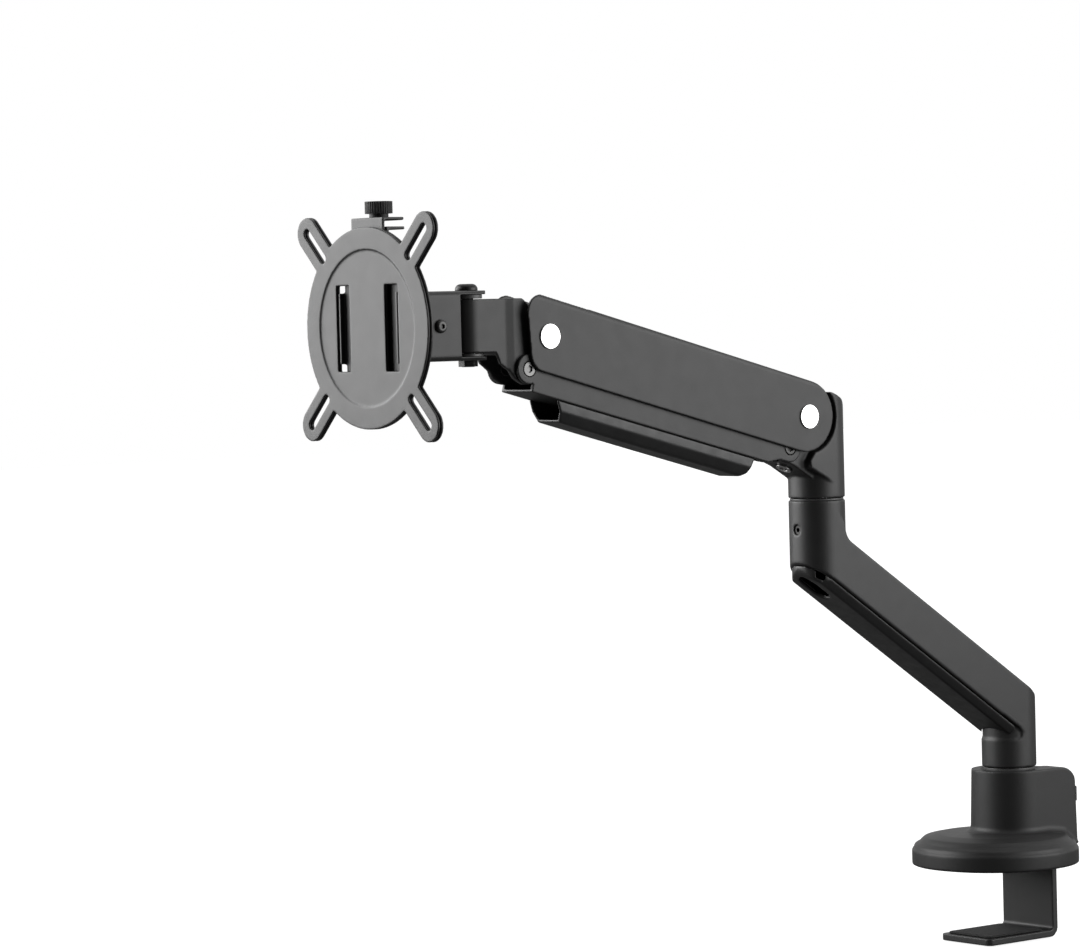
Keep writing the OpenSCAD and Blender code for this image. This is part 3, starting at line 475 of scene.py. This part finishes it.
def area(name, size, power, place, aim):
    lamp = bpy.data.lights.new(name, "AREA")
    lamp.shape = "RECTANGLE"
    lamp.size, lamp.size_y = size
    lamp.energy = power
    obj = bpy.data.objects.new(name, lamp)
    scene.collection.objects.link(obj)
    obj.location = Vector(place)
    obj.rotation_mode = "QUATERNION"
    obj.rotation_quaternion = (Vector(aim) - Vector(place)).to_track_quat("-Z", "Y")
    obj.visible_camera = False
    return obj


lo, hi = cad_box
centre = (lo + hi) / 2

turn, tilt, roll = math.radians(AZIMUTH), math.radians(ELEVATION), math.radians(ROLL)
back = Vector((math.sin(turn) * math.cos(tilt), -math.cos(turn) * math.cos(tilt), math.sin(tilt)))
right = Vector((math.cos(turn), math.sin(turn), 0))
up = back.cross(right)
right, up = (right * math.cos(roll) + up * math.sin(roll), up * math.cos(roll) - right * math.sin(roll))
camera = bpy.data.objects.new("camera", bpy.data.cameras.new("camera"))
scene.collection.objects.link(camera)
camera.data.lens = LENS
camera.data.sensor_width = SENSOR
camera.data.clip_start, camera.data.clip_end = CLIP_NEAR, CLIP_FAR
spot = back * DISTANCE - right * SHIFT_LEFT - up * SHIFT_DOWN
camera.matrix_world = Matrix.Translation(spot) @ Matrix((right, up, back)).transposed().to_4x4()
scene.camera = camera

level = Vector((back.x, back.y, 0)).normalized()
side = Vector((right.x, right.y, 0)).normalized()


def around(forward, rightward, height):
    """A place given from the object's centre: towards the camera, to the picture's right, and up."""
    return centre + level * forward + side * rightward + Vector((0, 0, height))


# softboxes: size in metres, watts, place and aim
above_centre = centre + Vector((0, 0, 0.1))
area("left_box", (1.2, 1.0), 27, around(-0.15, -1.1, 0.42), above_centre)
area("right_box", (1.2, 1.0), 16, around(0.35, 1.1, 0.32), above_centre)
area("top_box", (1.6, 1.6), 6, around(-0.2, 0.0, 1.6), centre)

world = bpy.data.worlds.new("studio")
scene.world = world
world.use_nodes = True
tree = world.node_tree
shade = tree.nodes["Background"]
path = tree.nodes.new("ShaderNodeLightPath")
seen = tree.nodes.new("ShaderNodeMath")
seen.operation = "MAXIMUM"
tree.links.new(path.outputs["Is Camera Ray"], seen.inputs[0])
tree.links.new(path.outputs["Is Transmission Ray"], seen.inputs[1])
# a white room for the camera; in reflections and as light it is darker towards the camera and overhead
toward = tree.nodes.new("ShaderNodeVectorMath")
toward.operation = "DOT_PRODUCT"
heading = tree.nodes.new("ShaderNodeTexCoord")
tree.links.new(heading.outputs["Generated"], toward.inputs[0])
toward.inputs[1].default_value = level * DIM_FORWARD - side * DIM_LEFT + Vector((0, 0, DIM_UP))
room = tree.nodes.new("ShaderNodeMapRange")
room.interpolation_type = "SMOOTHSTEP"
for socket, value in (("From Min", ROOM_FROM), ("From Max", ROOM_TO),
                      ("To Min", ROOM_BRIGHT), ("To Max", ROOM_DIM)):
    room.inputs[socket].default_value = value
tree.links.new(toward.outputs["Value"], room.inputs["Value"])
strength = tree.nodes.new("ShaderNodeMix")
strength.data_type = "FLOAT"
tree.links.new(seen.outputs["Value"], strength.inputs[0])
tree.links.new(room.outputs["Result"], strength.inputs[2])
strength.inputs[3].default_value = 1.0
tree.links.new(strength.outputs[0], shade.inputs["Strength"])
shade.inputs["Color"].default_value = (1, 1, 1, 1)

floor_mesh = bpy.data.meshes.new("floor")
corners = [(-1, -1), (1, -1), (1, 1), (-1, 1)]
floor_mesh.from_pydata([(x * FLOOR_HALF, y * FLOOR_HALF, lo.z - FLOOR_DROP) for x, y in corners],
                       [], [(0, 1, 2, 3)])
floor = bpy.data.objects.new("floor", floor_mesh)
scene.collection.objects.link(floor)
ground = Nodes("pale_floor")
ground.shader.inputs["Roughness"].default_value = 0.9
ground.shader.inputs["Specular IOR Level"].default_value = 0.1
glow = ground.tree.nodes.new("ShaderNodeEmission")
adding = ground.tree.nodes.new("ShaderNodeAddShader")
by_camera = ground.tree.nodes.new("ShaderNodeLightPath").outputs["Is Camera Ray"]
dark, pale = (FLOOR_DARK,) * 3 + (1,), (FLOOR_PALE,) * 3 + (1,)
ground.link(ground.mix(by_camera, dark, pale), ground.shader.inputs["Base Color"])
reach = ground.tree.nodes.new("ShaderNodeVectorMath")
reach.operation = "LENGTH"
ground.link(ground.place, reach.inputs[0])
fade = ground.remap(reach.outputs["Value"], GLOW_NEAR, GLOW_FAR, GLOW_LEAST, 1.0)
ground.link(ground.math("MULTIPLY", by_camera, fade), glow.inputs["Strength"])
ground.link(ground.shader.outputs["BSDF"], adding.inputs[0])
ground.link(glow.outputs["Emission"], adding.inputs[1])
ground.link(adding.outputs["Shader"], ground.tree.nodes["Material Output"].inputs["Surface"])
floor_mesh.materials.append(ground.material)

scene.view_settings.view_transform = "Standard"
